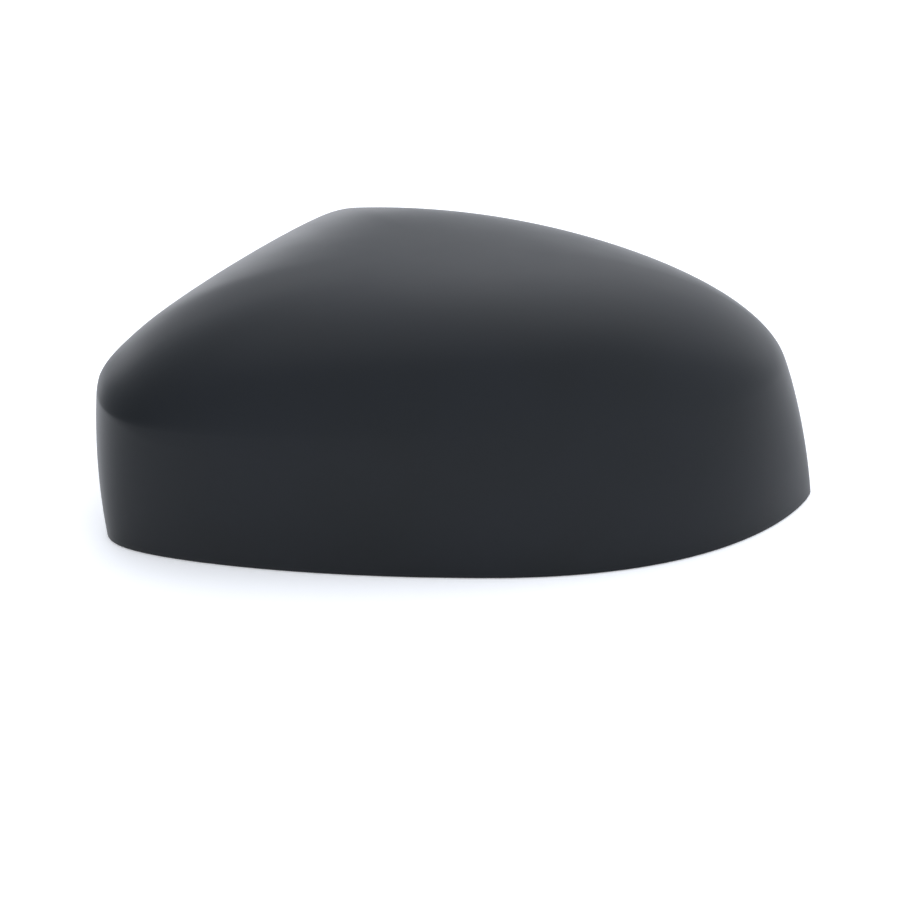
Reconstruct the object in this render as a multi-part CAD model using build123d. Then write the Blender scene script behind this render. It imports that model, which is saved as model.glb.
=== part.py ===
from build123d import *
import math
import os

# Wing mirror cover, one moulding, lying on its open side: X along it, Z up through the crown, millimetres.
length = 205.0
width = 140.0
height = 71.3
crease_height = 42.0
crease_fall = 3.7
wall = 2.5
corner_radius = 10.0
rim_tip_radius = 3.0
crease_tip_radius = 6.0
band_bow = 1.2
long_sag = 7.5
cross_sag = 2.4
roll_power = 3.95
roll_reach = 0.985

# The thinned lip that the mirror housing's edge slips into.
lip_wall = 1.5
lip_height = 4.5

# Snap hooks: a barbed tongue held off the wall by two gussets, at turns round the rim.
hook_width = 13.0
hook_gap = 5.0
hook_thickness = 2.0
hook_clearance = 2.5
hook_top = 24.0
barb_reach = 2.2
barb_lead = 4.0
barb_catch = 0.8
gusset_thickness = 1.5
gusset_low = 9.0
gusset_free = 12.0
gusset_high = 34.0
hook_turns = [0.5, 0.85, 1.65, 2.95, 3.25, 3.6]

# Locating pins, each stepped down from a boss with cross fins under the crown.
pin_radius = 3.0
pin_length = 12.0
pin_clearance = 12.0
pin_chamfer = 0.8
boss_radius = 4.5
base_span = 16.0
base_thickness = 1.6
base_draft = 2.0
pin_places = [(-0.28, -0.06), (0.28, -0.03)]

# Low stiffening ribs on the inside of the crown.
rib_thickness = 1.2
rib_depth = 3.0
long_rib_places = [-0.20, 0.20]
cross_rib_places = [-0.18, 0.0, 0.18]

# Right, far, left and near points of each outline as shares of length and width, and the shares
# of each quarter that its curve runs on from the first point and back from the last.
rim_points = [(0.502, -0.097), (-0.180, 0.493), (-0.490, -0.287), (0.041, -0.494)]
rim_handles = [(0.22, 0.50), (0.06, 0.10), (0.24, 0.62), (0.80, 0.045)]
crease_points = [(0.4605, -0.054), (-0.204, 0.482), (-0.4985, -0.215), (-0.158, -0.500)]
crease_handles = [(0.23, 0.54), (0.06, 0.10), (0.89, 0.88), (0.79, 0.39)]
apex_place = (-0.033, 0.012)

# Turns at which the skin is split into sides and corners, and the spans of each.
patch_turns = [0.0, 1.0, 1.6, 1.75, 2.0, 2.75, 3.1]
patch_spans = [6, 2, 3, 2, 2, 3, 4]
outer_levels = [0.0, 0.5, 1.0]
outer_scales = [0.96, 0.9, 0.82, 0.72]
inner_levels = [-0.1, 0.0, 0.5, 1.0]
inner_scales = [0.96, 0.88, 0.76, 0.6]
cap_shares = [0.75, 0.45, 0.2]

apex_x = apex_place[0] * length
apex_y = apex_place[1] * width
crease_slope = crease_fall / length
upright = Vector(0, 0, 1)


# The way out of the wall in plan: turn 0 faces right, 1 far, 2 left and 3 near.
def facing(turn):
    angle = math.radians(90 * turn)
    return Vector(math.cos(angle), math.sin(angle), 0)


# The four cubic quarters of an outline, drawn in by their corner radius, which the outline is grown by again.
def quarters(places, handles, tip_radius):
    corners = [Vector(x * length, y * width, 0) for x, y in places]
    radii = [tip_radius, corner_radius, corner_radius, tip_radius]
    curves = []
    for quarter, ((first, last), radius) in enumerate(zip(handles, radii)):
        start = corners[quarter] - facing(quarter) * radius
        end = corners[quarter - 3] - facing(quarter + 1) * radius
        leaving = facing(quarter + 1)
        arriving = facing(quarter + 2)
        second = start + leaving * (first * (end - start).dot(leaving))
        third = end - arriving * (last * (end - start).dot(arriving))
        curves.append((start, second, third, end, radius))
    return curves


rim_curves = quarters(rim_points, rim_handles, rim_tip_radius)
crease_curves = quarters(crease_points, crease_handles, crease_tip_radius)


# The point where an outline faces along a turn.
def outline(turn, curves):
    a, b, c, d, radius = curves[int(turn % 4)]
    out = facing(turn)
    ab = (b - a).dot(out)
    bc = (c - b).dot(out)
    cd = (d - c).dot(out)
    low, high = 0.0, 1.0
    for _ in range(40):
        t = (low + high) / 2
        if (1 - t) ** 2 * ab + 2 * t * (1 - t) * bc + t * t * cd > 0:
            low = t
        else:
            high = t
    return a * (1 - t) ** 3 + b * (3 * t * (1 - t) ** 2) + c * (3 * t * t * (1 - t)) + d * t**3 + out * radius


def roll(scale):
    return math.sqrt(1 - (roll_reach * scale) ** roll_power)


# The outer skin: level 0 is the rim and 1 the crease, with a bowed band between; 2 is the top of the crown.
def skin(turn, level):
    crease = outline(turn, crease_curves)
    if level <= 1:
        rim = outline(turn, rim_curves)
        flat = rim + (crease - rim) * level + facing(turn) * (4 * band_bow * level * (1 - level))
        return flat + upright * (crease_height * level - crease_slope * crease.X * max(level, 0))
    scale = 2 - level
    x = apex_x + scale * (crease.X - apex_x)
    y = apex_y + scale * (crease.Y - apex_y)
    sag = long_sag * (2 * (x - apex_x) / length) ** 2 + cross_sag * (2 * (y - apex_y) / width) ** 2
    base = crease_height - crease_slope * x
    rise = (roll(scale) - roll(1)) / (1 - roll(1))
    return Vector(x, y, base + (height - sag - base) * rise)


# A point at a depth under the skin: level in the band, square to the roll-over above it.
def inset(turn, level, depth):
    out = facing(turn)
    if level >= 1:
        small = 0.001
        up = skin(turn, level + small) - skin(turn, level - small)
        out = (out * up.Z - upright * up.dot(out)).normalized()
    return skin(turn, level) - out * depth


def run(turn, level, depth):
    small = 0.0001
    return (inset(turn + small, level, depth) - inset(turn - small, level, depth)).normalized()


# One closed section of the skin at a depth, with an edge for each patch that meets its neighbours smoothly.
def section(level, depth):
    edges = []
    for start, end, spans in zip(patch_turns, patch_turns[1:] + [4 + patch_turns[0]], patch_spans):
        turns = [start + (end - start) * i / spans for i in range(spans + 1)]
        points = [inset(turn, level, depth) for turn in turns]
        ends = [run(start, level, depth), run(end, level, depth)]
        edges.append(Edge.make_spline(points, tangents=ends, scale=False))
    return Wire(edges)


# The solid under the skin at a depth: band, roll-over and cap, closed by a floor at its lowest level.
def body(depth, levels, scales, ruled=False):
    band = [section(level, depth) for level in levels]
    crown = [band[-1]] + [section(2 - scale, depth) for scale in scales]
    top = [2 - share * scales[-1] for share in cap_shares]
    points = [inset(turn, level, depth) for level in top for turn in patch_turns]
    cap = Face.make_surface(crown[-1].edges(), points + [Vector(apex_x, apex_y, height - depth)])
    sides = Shell.make_loft(band, ruled).faces() + Shell.make_loft(crown, ruled).faces()
    return Solid(Shell(sides + [cap, Face(band[0])]))


outer = body(0, outer_levels, outer_scales)
core = body(wall, inner_levels, inner_scales, True)
middle = body(wall / 2, inner_levels[1:], inner_scales, True)
rib_floor = Pos(0, 0, -rib_depth) * core
below = (Align.CENTER, Align.CENTER, Align.MAX)
under_lip = Pos(0, 0, lip_height) * Box(2 * length, 2 * width, height, align=below)
lip_core = body(lip_wall, inner_levels, inner_scales, True) & under_lip
above = (Align.CENTER, Align.CENTER, Align.MIN)


def hook(turn):
    inward = -facing(turn)
    plane = Plane(inset(turn, 0, wall), x_dir=inward, z_dir=inward.cross(upright))
    face = hook_gap + hook_thickness
    lead = hook_clearance + barb_lead
    tongue = Polygon(
        (hook_gap, hook_clearance),
        (face, hook_clearance),
        (face + barb_reach, lead),
        (face, lead + barb_catch),
        (face, hook_top),
        (hook_gap, hook_top),
        align=None,
    )
    middle_of_tongue = hook_gap + hook_thickness / 2
    gusset = Polygon(
        (-2 * wall, gusset_low),
        (middle_of_tongue, gusset_free),
        (middle_of_tongue, hook_top),
        (-2 * wall, gusset_high),
        align=None,
    )
    side = (hook_width - gusset_thickness) / 2
    solid = extrude(plane * tongue, hook_width / 2, both=True)
    for offset in (-side, side):
        solid += extrude(plane.offset(offset) * gusset, gusset_thickness / 2, both=True)
    return solid & middle


def pin(place):
    x = place[0] * length
    y = place[1] * width
    seat = pin_clearance + pin_length
    shank = Pos(x, y, pin_clearance) * Cylinder(pin_radius, pin_length, align=above)
    shank = chamfer(shank.edges().sort_by(Axis.Z)[0], pin_chamfer)
    boss = Pos(x, y, seat) * Cylinder(boss_radius, height, align=above)
    fin = Polygon(
        (-base_span / 2 + base_draft, seat),
        (base_span / 2 - base_draft, seat),
        (base_span / 2, height),
        (-base_span / 2, height),
        align=None,
    )
    along = extrude(Plane.XZ.offset(-y) * Pos(x, 0) * fin, base_thickness / 2, both=True)
    across = extrude(Plane.YZ.offset(x) * Pos(y, 0) * fin, base_thickness / 2, both=True)
    return (shank + boss + along + across) & middle


def crown_rib(size_x, size_y, x, y):
    plate = Pos(x, y, crease_height) * Box(size_x, size_y, height, align=above)
    return (plate & middle) - rib_floor


features = [hook(turn) for turn in hook_turns]
features += [pin(place) for place in pin_places]
features += [crown_rib(length, rib_thickness, 0, share * width) for share in long_rib_places]
features += [crown_rib(rib_thickness, width, share * length, 0) for share in cross_rib_places]
shell = outer - core - lip_core
cover = shell.fuse(*[solid for feature in features for solid in feature.solids()])

centre = cover.bounding_box().center()
cover = Pos(-centre.X, -centre.Y, 0) * cover

os.makedirs("parts", exist_ok=True)
export_step(cover, "parts/mirror_cover.step")
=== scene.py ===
import bpy
import math
import numpy as np
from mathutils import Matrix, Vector


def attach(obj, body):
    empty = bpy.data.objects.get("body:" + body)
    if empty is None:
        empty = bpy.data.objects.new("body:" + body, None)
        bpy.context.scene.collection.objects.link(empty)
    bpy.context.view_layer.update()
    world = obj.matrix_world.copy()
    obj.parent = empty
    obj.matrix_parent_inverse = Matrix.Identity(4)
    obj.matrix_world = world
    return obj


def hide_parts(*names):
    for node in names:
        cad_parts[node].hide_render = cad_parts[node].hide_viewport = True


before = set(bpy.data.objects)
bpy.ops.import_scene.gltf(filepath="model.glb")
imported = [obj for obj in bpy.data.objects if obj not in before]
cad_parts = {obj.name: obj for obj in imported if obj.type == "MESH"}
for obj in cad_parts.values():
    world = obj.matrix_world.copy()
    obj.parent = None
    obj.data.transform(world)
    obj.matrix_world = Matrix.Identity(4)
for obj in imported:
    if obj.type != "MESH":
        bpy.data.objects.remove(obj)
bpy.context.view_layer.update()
mm = 0.001
print("frame loaded")


# one moulded shell, all sizes in millimetres and all angles in degrees
coverForm = dict(
    length=205.0, width=140.0, height=71.3,
    creaseHeight=42.0, creaseFall=3.7,          # the crease sinks a little towards the pointed end
    wall=2.5, lipWall=1.5, lipHeight=4.5,       # thinned lip along the rim
    edgeRadius=0.35,                            # soft moulded edge of the lip
    cornerRadius=10.0, rimTipRadius=3.0, creaseTipRadius=6.0, bandBow=1.2,
    longSag=7.5, crossSag=2.4, rollPower=3.95, rollReach=0.985,
    # right, far, left and near points as shares of length and width, and the shares of each quarter that its
    # curve runs on from the first point and back from the last
    rimPoints=[(0.502, -0.097), (-0.180, 0.493), (-0.490, -0.287), (0.041, -0.494)],
    rimHandles=[(0.22, 0.50), (0.06, 0.10), (0.24, 0.62), (0.80, 0.045)],
    creasePoints=[(0.4605, -0.054), (-0.204, 0.482), (-0.4985, -0.215), (-0.158, -0.500)],
    creaseHandles=[(0.23, 0.54), (0.06, 0.10), (0.89, 0.88), (0.79, 0.39)],
    apexPlace=(-0.033, 0.012),
    ridgeTurn=175.0, ridgeFocus=4, ridgeFade=0.08, ridgeColumns=8.0,    # softer ridge up from the left corner
    crispTurn=205.0, crispFocus=2, creaseCrisp=0.4, creaseSoft=8.0,     # width of the crease's rounding
    seatShare=0.6,                              # hooks, pins and ribs end this share of the wall deep in it
    columns=520, crownRows=46, bandRows=26, innerRows=30, edgeSteps=6,
    bandGather=1.4,                             # over 1, the band's rows gather towards the crease
    turnRun=14.0,                               # millimetres of wall that a radian of turn counts for
    levelStep=0.001, outlineSamples=3000, turnSamples=36001,
    probeTop=1.4, probeRows=60,                 # levels that hold the widest part
    roofRings=90, roofColumns=720,
)
creaseSlope = coverForm["creaseFall"] / coverForm["length"]
apexX = coverForm["apexPlace"][0] * coverForm["length"]
apexY = coverForm["apexPlace"][1] * coverForm["width"]
seatDepth = coverForm["wall"] * coverForm["seatShare"]


# way out of the wall in plan, at an angle from +X
def facing(turn):
    return np.cos(np.radians(turn)), np.sin(np.radians(turn))


# closed outline: four cubic quarters between the right, far, left and near points, each drawn in by its
# corner radius and grown by it again along the facing; kept as a table of facing angle, x and y
def outlineTable(places, handles, tipRadius):
    f = coverForm
    corners = np.array(places) * (f["length"], f["width"])
    radii = [tipRadius, f["cornerRadius"], f["cornerRadius"], tipRadius]
    ways = np.array([(1.0, 0.0), (0.0, 1.0), (-1.0, 0.0), (0.0, -1.0)])
    t = np.linspace(0, 1, f["outlineSamples"], endpoint=False)
    u = 1 - t
    quarters = []
    for quarter, ((lead, trail), r) in enumerate(zip(handles, radii)):
        first = corners[quarter] - r * ways[quarter]
        last = corners[quarter - 3] - r * ways[quarter - 3]
        along = np.abs(ways[quarter - 3])
        second = first + lead * (last - first) * along
        third = last - trail * (last - first) * (1 - along)
        controls = list(zip(first, second, third, last))
        x, y = [u**3 * a + 3 * u * u * t * b + 3 * u * t * t * c + t**3 * d for a, b, c, d in controls]
        dx, dy = [u * u * (b - a) + 2 * u * t * (c - b) + t * t * (d - c) for a, b, c, d in controls]
        angle = np.degrees(np.arctan2(-dx, dy)) % 360
        angle[0] = 90.0 * quarter
        outX, outY = facing(angle)
        quarters.append(np.array([angle, x + r * outX, y + r * outY]))
    return np.concatenate(quarters, axis=1)


rimTable = outlineTable(coverForm["rimPoints"], coverForm["rimHandles"], coverForm["rimTipRadius"])
creaseTable = outlineTable(
    coverForm["creasePoints"], coverForm["creaseHandles"], coverForm["creaseTipRadius"])


# x and y of an outline where it faces the given angles
def readOutline(table, turn):
    return [np.interp(turn % 360, table[0], column, period=360) for column in table[1:]]


# height along the roll-over: the root of one less a power of the scale
def roll(scale):
    return np.sqrt(1 - (coverForm["rollReach"] * scale) ** coverForm["rollPower"])


# outer skin: level 0 to 1 runs straight from rim to crease with an outward parabola added; level 1 to 2
# shrinks the crease's outline towards the top and lifts it along a superellipse to a doubly sagging dome
def skinAt(level, turn):
    f = coverForm
    outX, outY = facing(turn)
    rimX, rimY = readOutline(rimTable, turn)
    creaseX, creaseY = readOutline(creaseTable, turn)
    low = np.clip(level, 0, 1)
    bow = 4 * f["bandBow"] * low * (1 - low)
    bandX = rimX + (creaseX - rimX) * low + outX * bow
    bandY = rimY + (creaseY - rimY) * low + outY * bow
    bandZ = (f["creaseHeight"] - creaseSlope * creaseX) * low
    scale = np.clip(2 - level, 0, 1)
    x = apexX + scale * (creaseX - apexX)
    y = apexY + scale * (creaseY - apexY)
    longShare = 2 * (x - apexX) / f["length"]
    crossShare = 2 * (y - apexY) / f["width"]
    sag = f["longSag"] * longShare ** 2 + f["crossSag"] * crossShare ** 2
    base = f["creaseHeight"] - creaseSlope * x
    z = base + (f["height"] - sag - base) * (roll(scale) - roll(1)) / (1 - roll(1))
    inBand = level <= 1
    axes = ((bandX, x), (bandY, y), (bandZ, z))
    return np.stack([np.where(inBand, band, crown) for band, crown in axes], axis=-1)


# a point at a depth under the skin: straight inwards in the band, square to the roll-over above the crease
def insetAt(level, turn, depth):
    level, turn, depth = np.broadcast_arrays(level, turn, depth)
    step = coverForm["levelStep"]
    outX, outY = facing(turn)
    up = skinAt(level + step, turn) - skinAt(level - step, turn)
    lean = up[..., 0] * outX + up[..., 1] * outY
    reach = np.hypot(up[..., 2], lean)
    inBand = level < 1
    flat = np.where(inBand, 1.0, up[..., 2] / reach)
    tall = np.where(inBand, 0.0, -lean / reach)
    out = np.stack([outX * flat, outY * flat, tall], axis=-1)
    return skinAt(level, turn) - out * depth[..., None]


# columns spread by the mean length of rim and crease, closer together where the wall turns
def columnTurns(count):
    dense = np.linspace(0, 360, coverForm["turnSamples"])
    rim = np.array(readOutline(rimTable, dense))
    crease = np.array(readOutline(creaseTable, dense))
    wallSteps = np.hypot(*np.diff((rim + crease) / 2, axis=1))
    step = wallSteps + coverForm["turnRun"] * np.radians(np.diff(dense))
    run = np.concatenate([[0], np.cumsum(step)])
    return np.interp(np.arange(count) / count * run[-1], run, dense)


turns = columnTurns(coverForm["columns"])
creaseZ = coverForm["creaseHeight"] - creaseSlope * readOutline(creaseTable, turns)[0]
probe = skinAt(np.linspace(0, coverForm["probeTop"], coverForm["probeRows"])[:, None], turns)
middleX, middleY = [(probe[..., axis].min() + probe[..., axis].max()) / 2 for axis in (0, 1)]


# millimetres to metres, with the middle of the plan at the origin
def toFrame(points):
    return (points - np.array([middleX, middleY, 0.0])) * mm


# puts points and faces, each a list of corners, into an object at the origin
def makePiece(name, points, faces, sharpDegrees=35):
    mesh = bpy.data.meshes.new(name)
    mesh.from_pydata(points.tolist(), [], faces)
    mesh.validate()
    mesh.polygons.foreach_set("use_smooth", np.ones(len(mesh.polygons), dtype=bool))
    mesh.set_sharp_from_angle(angle=math.radians(sharpDegrees))
    mesh.update()
    piece = bpy.data.objects.new(name, mesh)
    bpy.context.scene.collection.objects.link(piece)
    return piece


# quads between neighbouring rows of a grid whose columns close on themselves
def ringFaces(rows, columns, start=0):
    row, column = np.meshgrid(np.arange(rows - 1), np.arange(columns), indexing="ij")
    after = (column + 1) % columns
    here = row * columns
    below = here + columns
    corners = [here + column, below + column, below + after, here + after]
    return (np.stack(corners, axis=-1).reshape(-1, 4) + start).tolist()


# the ridge from the left corner to the top is rounder higher up: each row of the crown is averaged along
# itself with a bell of so many columns, fully from a little above the crease, and where it faces the ridge
def softenRidge(grid, levels):
    f = coverForm
    climb = np.clip((levels.mean(axis=1) - 1) / f["ridgeFade"], 0, 1)
    wide = f["ridgeColumns"] * climb * climb * (3 - 2 * climb)
    waves = 2 * math.pi * np.fft.rfftfreq(grid.shape[1])
    bell = np.exp(-(wide[:, None] * waves) ** 2 / 2)
    soft = np.fft.irfft(np.fft.rfft(grid, axis=1) * bell[..., None], grid.shape[1], axis=1)
    facingRidge = np.clip(np.cos(np.radians(turns - f["ridgeTurn"])), 0, 1) ** f["ridgeFocus"]
    return grid + (soft - grid) * facingRidge[:, None]


# the crease is rounded by a parabola: within a width of it, points move in by the wall's turn there times the
# square of what is left of the width, over four widths; the width is least round the left corner
def softenCrease(grid):
    f = coverForm
    outX, outY = facing(turns)
    nearCrease = 1 + f["levelStep"] * np.array([-1, 0, 1])[:, None]
    steps = np.diff(skinAt(nearCrease, turns), axis=0)
    leans = np.arctan2(steps[..., 0] * outX + steps[..., 1] * outY, steps[..., 2])
    crisp = np.clip(np.cos(np.radians(turns - f["crispTurn"])), 0, 1) ** f["crispFocus"]
    width = f["creaseSoft"] + (f["creaseCrisp"] - f["creaseSoft"]) * crisp
    left = np.clip(width - np.abs(grid[..., 2] - creaseZ), 0, None)
    move = (leans[0] - leans[1]) * left * left / (4 * width)
    return grid - np.stack([outX * move, outY * move, 0 * move], axis=-1)


# the shell in one sheet: down the outside from the top, round the lip's soft edge, up the inside to the top
def makeShell():
    f = coverForm
    arc = np.radians(np.linspace(0, 90, f["edgeSteps"]))
    sineGap = f["edgeRadius"] * (1 - np.sin(arc))
    cosineGap = f["edgeRadius"] * (1 - np.cos(arc))
    crownScale = np.sin(np.linspace(0, math.pi / 2, f["crownRows"] + 1)[1:])
    bandHigh = 1 - np.linspace(0, 1, f["bandRows"])[1:-1] ** f["bandGather"]
    innerHigh = np.linspace(0, 1, f["innerRows"])[1:]
    lipHeights = np.concatenate([sineGap, cosineGap, [f["lipHeight"], f["lipHeight"]]])
    lipDepths = np.concatenate([cosineGap, f["lipWall"] - sineGap, [f["lipWall"], f["wall"]]])
    lipLevels = lipHeights[:, None] / creaseZ
    climb = f["lipHeight"] / creaseZ
    innerLevels = climb + (1 - climb) * innerHigh[:, None]
    flat = np.ones(len(turns))
    levels = np.concatenate([
        (2 - crownScale)[:, None] * flat, bandHigh[:, None] * flat, lipLevels, innerLevels,
        (2 - crownScale[::-1][1:])[:, None] * flat])
    depths = np.concatenate([
        np.zeros(len(crownScale) + len(bandHigh)), lipDepths,
        np.full(len(innerHigh) + len(crownScale) - 1, f["wall"])])[:, None]
    grid = softenCrease(softenRidge(insetAt(levels, turns, depths), levels))
    rows, columns = grid.shape[:2]
    tops = np.array([[apexX, apexY, f["height"]], [apexX, apexY, f["height"] - f["wall"]]])
    points = toFrame(np.concatenate([grid.reshape(-1, 3), tops]))
    place = np.arange(columns)
    after = (place + 1) % columns
    lastRow = (rows - 1) * columns
    outerTop = np.full(columns, rows * columns)
    outerFan = np.stack([outerTop, place, after], axis=-1)
    innerFan = np.stack([outerTop + 1, lastRow + after, lastRow + place], axis=-1)
    faces = ringFaces(rows, columns) + outerFan.tolist() + innerFan.tolist()
    return makePiece("cover_shell", points, faces)


coverShell = makeShell()
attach(coverShell, "root")
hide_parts("mirror_cover")
print("shell made:", len(coverShell.data.polygons), "faces")


# height of the crown at a depth under the skin, read off rings of the crown by bearing and reach from the top
def crownHeight(x, y, depth):
    scales = np.sin(np.linspace(0, math.pi / 2, coverForm["roofRings"]))[1:]
    rings = insetAt((2 - scales)[:, None], columnTurns(coverForm["roofColumns"]), depth)
    awayX = rings[..., 0] - apexX
    awayY = rings[..., 1] - apexY
    ringBearings = np.arctan2(awayY, awayX)
    bearing = np.arctan2(y - apexY, x - apexX)
    wanted = np.hypot(x - apexX, y - apexY)
    fullTurn = 2 * math.pi
    reach = np.array([np.interp(bearing, around, away, period=fullTurn)
                      for around, away in zip(ringBearings, np.hypot(awayX, awayY))])
    rise = np.array([np.interp(bearing, around, high, period=fullTurn)
                     for around, high in zip(ringBearings, rings[..., 2])])
    index = np.clip((reach < wanted).sum(axis=0), 1, len(scales) - 1)
    pick = np.arange(len(wanted))
    nearReach = reach[index - 1, pick]
    farReach = reach[index, pick]
    nearRise = rise[index - 1, pick]
    farRise = rise[index, pick]
    share = np.clip((wanted - nearReach) / (farReach - nearReach), 0, 1)
    height = nearRise + share * (farRise - nearRise)
    return np.where(wanted < reach[-1], height, 0.0)     # nothing beyond the crease


# flat outlines given thickness: the points of each at one side and the other, with both ends closed
def slabs(outlines, sides):
    count = outlines.shape[1]
    points = np.stack([outlines + sides[:, None], outlines - sides[:, None]], axis=1).reshape(-1, 3)
    faces = []
    for start in range(0, len(points), 2 * count):
        faces += ringFaces(2, count, start)
        faces.append(list(range(start, start + count)))
        faces.append(list(range(start + count, start + 2 * count))[::-1])
    return points, faces


# several blocks of points and faces as one
def joined(blocks):
    allPoints = np.concatenate([points for points, faces in blocks])
    allFaces = []
    start = 0
    for points, faces in blocks:
        allFaces += [[corner + start for corner in corners] for corners in faces]
        start += len(points)
    return allPoints, allFaces


# small bevel along every edge sharper than an angle
def softenEdges(piece, width, segments=2, sharpDegrees=30):
    bevel = piece.modifiers.new("softEdges", "BEVEL")
    bevel.width = width * mm
    bevel.segments = segments
    bevel.limit_method = "ANGLE"
    bevel.angle_limit = math.radians(sharpDegrees)


# snap hooks: a barbed tongue held off the wall by two gussets that run into it
snapHooks = dict(
    turns=[0.5, 0.85, 1.65, 2.95, 3.25, 3.6],    # quarter turns from +X
    width=13.0, gap=5.0, thickness=2.0, clearance=2.5, top=24.0,
    barbReach=2.2, barbLead=4.0, barbCatch=0.8,
    gussetThickness=1.5, gussetLow=9.0, gussetFree=12.0, gussetHigh=34.0, gussetSteps=8,
    wallSearch=80.0, wallSamples=400,            # degrees to each side in which the wall is looked for
    edge=0.25,
)


# how far inwards of a hook's foot the wall stands at given heights, a little to one side of the hook's middle
def wallReach(angle, foot, sideways, heights):
    near = angle + np.linspace(-snapHooks["wallSearch"], snapHooks["wallSearch"], snapHooks["wallSamples"])
    outX, outY = facing(angle)
    wallZ = coverForm["creaseHeight"] - creaseSlope * readOutline(creaseTable, near)[0]
    ring = insetAt(heights[:, None] / wallZ, near, seatDepth)
    awayX = ring[..., 0] - foot[0]
    awayY = ring[..., 1] - foot[1]
    along = awayY * outX - awayX * outY
    inwards = -awayX * outX - awayY * outY
    return np.array([np.interp(sideways, a, b) for a, b in zip(along, inwards)])


# tongue and gussets are outlines in the hook's own plane, inwards and up from its foot at the rim
def makeHooks():
    f, h = coverForm, snapHooks
    upright = np.array([0, 0, 1.0])
    face = h["gap"] + h["thickness"]
    lead = h["clearance"] + h["barbLead"]
    tongue = np.array([
        (h["gap"], h["clearance"]), (face, h["clearance"]), (face + h["barbReach"], lead),
        (face, lead + h["barbCatch"]), (face, h["top"]), (h["gap"], h["top"])])
    middle = h["gap"] + h["thickness"] / 2
    free = np.array([(middle, h["gussetFree"]), (middle, h["top"])])
    freeHeights = free[::-1, 1]
    wallHeights = np.array([h["gussetHigh"], h["gussetLow"]])
    side = (h["width"] - h["gussetThickness"]) / 2
    tongues = []
    tongueSides = []
    gussets = []
    gussetSides = []
    for angle in np.array(h["turns"]) * 90:
        outX, outY = facing(angle)
        inward = np.array([-outX, -outY, 0.0])
        across = np.array([-outY, outX, 0.0])
        foot = insetAt(0.0, angle, f["wall"])
        tongues.append(foot + inward * tongue[:, :1] + upright * tongue[:, 1:])
        tongueSides.append(across * h["width"] / 2)
        for offset in (-side, side):
            # both sloping edges aim at twice the wall's thickness behind the foot, and stop in the wall
            ends = wallReach(angle, foot, offset, wallHeights)
            share = (middle - ends) / (middle + 2 * f["wall"])
            high, low = freeHeights + share * (wallHeights - freeHeights)
            heights = np.linspace(high, low, h["gussetSteps"])
            wallEdge = np.stack([wallReach(angle, foot, offset, heights), heights], axis=-1)
            gusset = np.concatenate([wallEdge, free])
            gussets.append(foot + across * offset + inward * gusset[:, :1] + upright * gusset[:, 1:])
            gussetSides.append(across * h["gussetThickness"] / 2)
    points, faces = joined([slabs(np.array(tongues), np.array(tongueSides)),
                            slabs(np.array(gussets), np.array(gussetSides))])
    return makePiece("snap_hooks", toFrame(points), faces)


hooksPiece = makeHooks()
softenEdges(hooksPiece, snapHooks["edge"])
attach(hooksPiece, "root")
print("hooks made")


# locating pins: a turned profile of chamfered pin and boss, with cross fins that run up into the crown
locatingPins = dict(
    places=[(-0.28, -0.06), (0.28, -0.03)],      # shares of length and width
    radius=3.0, length=12.0, clearance=12.0, chamfer=0.8, bossRadius=4.5,
    finSpan=16.0, finThickness=1.6, finDraft=2.0, finSteps=7, segments=56, edge=0.2,
)


# radii and heights of the profile turned round each pin's axis; fins spread by their draft towards the crown
def makePins():
    f, p = coverForm, locatingPins
    centres = np.array(p["places"]) * (f["length"], f["width"])
    roof = crownHeight(centres[:, 0], centres[:, 1], seatDepth)
    seat = p["clearance"] + p["length"]
    spin = np.linspace(0, 2 * math.pi, p["segments"], endpoint=False)
    radii = np.array([p["radius"] - p["chamfer"], p["radius"], p["radius"], p["bossRadius"], p["bossRadius"]])
    half = p["finSpan"] / 2 - p["finDraft"]
    blocks = []
    for (x, y), top in zip(centres, roof):
        heights = np.array([p["clearance"], p["clearance"] + p["chamfer"], seat, seat, top])
        turned = np.stack([x + radii[:, None] * np.cos(spin), y + radii[:, None] * np.sin(spin),
                           heights[:, None] + 0 * spin], axis=-1).reshape(-1, 3)
        corners = list(range(len(turned)))
        faces = [quad[::-1] for quad in ringFaces(len(radii), p["segments"])]
        faces.append(corners[:p["segments"]][::-1])
        faces.append(corners[-p["segments"]:])
        blocks.append((turned, faces))
        spread = half + p["finDraft"] * (top - seat) / (f["height"] - seat)
        over = np.linspace(spread, -spread, p["finSteps"])
        for dx, dy in ((1.0, 0.0), (0.0, 1.0)):
            edge = crownHeight(x + over * dx, y + over * dy, seatDepth)
            low = np.array([(x - half * dx, y - half * dy, seat), (x + half * dx, y + half * dy, seat)])
            high = np.stack([x + over * dx, y + over * dy, edge], axis=-1)
            side = np.array([[dy, -dx, 0.0]]) * p["finThickness"] / 2
            blocks.append(slabs(np.concatenate([low, high])[None], side))
    points, faces = joined(blocks)
    return makePiece("locating_pins", toFrame(points), faces)


pinsPiece = makePins()
softenEdges(pinsPiece, locatingPins["edge"])
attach(pinsPiece, "root")
print("pins made")


# crown ribs: low plates whose upper edge lies in the wall and whose lower edge hangs one depth below the roof
crownRibs = dict(
    thickness=1.2, depth=3.0,
    longPlaces=[-0.20, 0.20],                    # shares of the width
    crossPlaces=[-0.18, 0.0, 0.18],              # shares of the length
    endRise=0.4,                                 # a rib ends where the roof is this far above the crease
    searchSamples=1200, samples=140,
)


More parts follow.
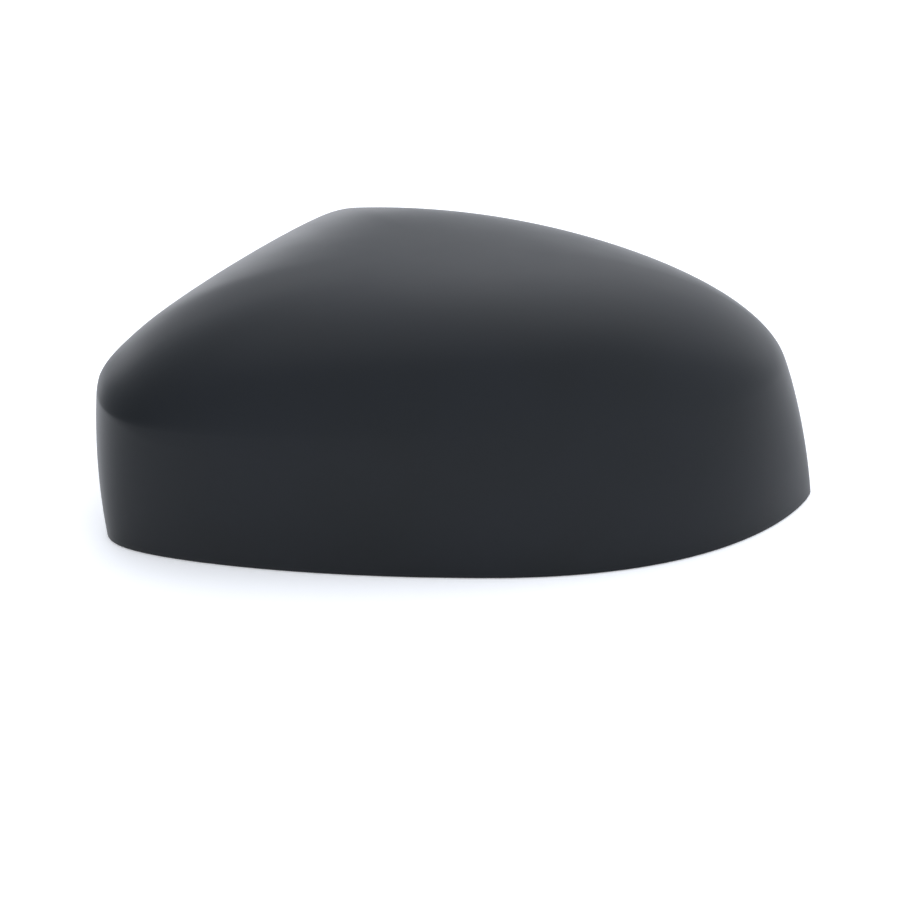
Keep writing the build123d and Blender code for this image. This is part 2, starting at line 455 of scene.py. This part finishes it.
# each rib follows the roof's height along a straight line in plan, between the places where the roof ends
def makeRibs():
    f, c = coverForm, crownRibs
    runs = [(1.0, 0.0, share * f["width"]) for share in c["longPlaces"]]
    runs += [(0.0, 1.0, share * f["length"]) for share in c["crossPlaces"]]
    blocks = []
    for dx, dy, offset in runs:
        reach = (f["length"] if dx else f["width"]) / 2
        along = np.linspace(-reach, reach, c["searchSamples"])
        height = crownHeight(along * dx + offset * dy, along * dy + offset * dx, seatDepth)
        inside = along[height > f["creaseHeight"] + c["endRise"]]
        along = np.linspace(inside[0], inside[-1], c["samples"])
        x = along * dx + offset * dy
        y = along * dy + offset * dx
        upper = np.stack([x, y, crownHeight(x, y, seatDepth)], axis=-1)
        hanging = crownHeight(x, y, f["wall"]) - c["depth"]
        lower = np.stack([x, y, np.clip(hanging, f["creaseHeight"], None)], axis=-1)
        side = np.array([[dy, -dx, 0.0]]) * c["thickness"] / 2
        blocks.append(slabs(np.concatenate([lower, upper[::-1]])[None], side))
    points, faces = joined(blocks)
    return makePiece("crown_ribs", toFrame(points), faces)


ribsPiece = makeRibs()
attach(ribsPiece, "root")
print("ribs made")


# sRGB hex to linear colour: a straight line near black, a power of 2.4 above it
def linear(hexColour):
    channels = [int(hexColour[i:i + 2], 16) / 255 for i in (1, 3, 5)]
    return [c / 12.92 if c <= 0.04045 else ((c + 0.055) / 1.055) ** 2.4 for c in channels] + [1.0]


# a node with its settings, its sockets' values and the links into it
def addNode(tree, kind, values=None, links=None, **settings):
    node = tree.nodes.new(kind)
    for name, value in settings.items():
        setattr(node, name, value)
    for socket, value in (values or {}).items():
        node.inputs[socket].default_value = value
    for socket, source in (links or {}).items():
        tree.links.new(source, node.inputs[socket])
    return node


# moulded ABS, black, satin from a spark-eroded mould: a soft sheen that spreads at the rounded edges,
# broken by a fine even grain and by faint cloudy changes of gloss where the melt cooled
satinAbs = dict(
    colour="#060b10", cloudColour="#090e14",
    roughness=(0.35, 0.41),
    ior=1.3,                # solid ABS is near 1.53, but the fine grain scatters part of the mirror image
    cloudSize=38.0,         # millimetres across a patch of changed gloss
    cloudDetail=3.0, cloudBreakup=0.55, tintRange=(0.35, 0.65), glossRange=(0.3, 0.7),
    grainSize=0.45,         # real grain is near 0.1 mm, drawn coarser so that it shows
    grainDetail=2.0, grainBreakup=0.6, grainHeight=0.006, grainStrength=0.5,
)


def makeSatinAbs():
    s = satinAbs
    material = bpy.data.materials.new("moulded_abs_satin_black")
    material.use_nodes = True
    tree = material.node_tree
    tree.nodes.clear()
    place = addNode(tree, "ShaderNodeTexCoord").outputs["Object"]
    clouds = addNode(
        tree, "ShaderNodeTexNoise",
        {"Scale": 1 / (s["cloudSize"] * mm), "Detail": s["cloudDetail"], "Roughness": s["cloudBreakup"]},
        {"Vector": place})
    grain = addNode(
        tree, "ShaderNodeTexNoise",
        {"Scale": 1 / (s["grainSize"] * mm), "Detail": s["grainDetail"], "Roughness": s["grainBreakup"]},
        {"Vector": place})
    tint = addNode(tree, "ShaderNodeValToRGB", links={"Fac": clouds.outputs["Fac"]})
    colours = (s["colour"], s["cloudColour"])
    for stop, position, hexColour in zip(tint.color_ramp.elements, s["tintRange"], colours):
        stop.position = position
        stop.color = linear(hexColour)
    gloss = addNode(
        tree, "ShaderNodeMapRange",
        {"From Min": s["glossRange"][0], "From Max": s["glossRange"][1],
         "To Min": s["roughness"][0], "To Max": s["roughness"][1]},
        {"Value": clouds.outputs["Fac"]})
    bump = addNode(
        tree, "ShaderNodeBump",
        {"Strength": s["grainStrength"], "Distance": s["grainHeight"] * mm},
        {"Height": grain.outputs["Fac"]})
    shader = addNode(
        tree, "ShaderNodeBsdfPrincipled", {"IOR": s["ior"]},
        {"Base Color": tint.outputs["Color"], "Roughness": gloss.outputs["Result"],
         "Normal": bump.outputs["Normal"]})
    addNode(tree, "ShaderNodeOutputMaterial", links={"Surface": shader.outputs["BSDF"]})
    return material


absMaterial = makeSatinAbs()
for piece in (coverShell, hooksPiece, pinsPiece, ribsPiece):
    piece.data.materials.append(absMaterial)
print("material made")


# pale paper lit from below, as on a light table: its glow thins the shadow; metres
paperFloor = dict(size=8.0, drop=0.0002, colour="#f9f9fa", roughness=0.9, glow=0.27)


def makeFloor():
    p = paperFloor
    half = p["size"] / 2
    corners = np.array([(-half, -half), (half, -half), (half, half), (-half, half)])
    points = np.column_stack([corners, np.full(len(corners), -p["drop"])])
    floor = makePiece("floor", points, [[0, 1, 2, 3]])
    paper = bpy.data.materials.new("white_paper_sweep")
    paper.use_nodes = True
    sockets = paper.node_tree.nodes["Principled BSDF"].inputs
    sockets["Base Color"].default_value = linear(p["colour"])
    sockets["Roughness"].default_value = p["roughness"]
    sockets["Emission Color"].default_value = linear(p["colour"])
    sockets["Emission Strength"].default_value = p["glow"]
    floor.data.materials.append(paper)


# white tent all round, evenly brighter towards one side
lightTent = dict(
    colour="#f2f7ff", dim=0.78, bright=1.62,
    brightWay=(0.93, -0.36, 0.0),                # to the right and a little near
)


def makeTent():
    t = lightTent
    world = bpy.data.worlds.new("studio")
    bpy.context.scene.world = world
    world.use_nodes = True
    tree = world.node_tree
    tent = tree.nodes["Background"]
    tent.inputs["Color"].default_value = linear(t["colour"])
    direction = addNode(tree, "ShaderNodeTexCoord").outputs["Generated"]
    lean = addNode(
        tree, "ShaderNodeVectorMath", {1: t["brightWay"]}, {0: direction}, operation="DOT_PRODUCT")
    strength = addNode(
        tree, "ShaderNodeMapRange",
        {"From Min": -1.0, "From Max": 1.0, "To Min": t["dim"], "To Max": t["bright"]},
        {"Value": lean.outputs["Value"]})
    tree.links.new(strength.outputs["Result"], tent.inputs["Strength"])


# soft lamps behind the cover, for the sheen along its top and its left slope; metres
backLamps = dict(
    colour="#f8f9ff", aim=(0.0, 0.0, 0.03),
    lamps=[     # name, place, size x, size y, watts
        ("right_back", (0.68, 1.06, 0.85), 1.8, 1.6, 6.0),
        ("top_back", (0.0, 0.36, 1.49), 1.0, 1.0, 1.9),
        ("left_strip", (-0.46, 1.42, 0.18), 0.85, 0.3, 1.55),
    ],
)


def makeLamps():
    for name, place, sizeX, sizeY, watts in backLamps["lamps"]:
        light = bpy.data.lights.new(name, "AREA")
        light.shape = "RECTANGLE"
        light.size = sizeX
        light.size_y = sizeY
        light.energy = watts
        light.color = linear(backLamps["colour"])[:3]
        lamp = bpy.data.objects.new(name, light)
        bpy.context.scene.collection.objects.link(lamp)
        lamp.location = place
        aim = Vector(backLamps["aim"]) - Vector(place)
        lamp.rotation_euler = aim.to_track_quat("-Z", "Y").to_euler()
        lamp.visible_camera = False


# the photograph's view: a long lens from in front, looking down; target in millimetres, distances in metres
photoView = dict(
    target=(-2.65 - middleX, -4.2 - middleY, 9.15),
    distance=1.0, elevation=25.0, lens=136.0, sensor=36.0, clipStart=0.01,
)


def makeCamera():
    v = photoView
    lens = bpy.data.cameras.new("photo_view")
    lens.lens = v["lens"]
    lens.sensor_width = v["sensor"]
    lens.sensor_fit = "HORIZONTAL"
    lens.clip_start = v["clipStart"]
    camera = bpy.data.objects.new("photo_view", lens)
    bpy.context.scene.collection.objects.link(camera)
    tilt = math.radians(v["elevation"])
    away = Vector((0.0, -math.cos(tilt), math.sin(tilt))) * v["distance"]
    camera.location = Vector(v["target"]) * mm + away
    camera.rotation_euler = (math.pi / 2 - tilt, 0.0, 0.0)
    bpy.context.scene.camera = camera
    bpy.context.scene.view_settings.view_transform = "Standard"


makeFloor()
makeTent()
makeLamps()
makeCamera()
print("studio made")
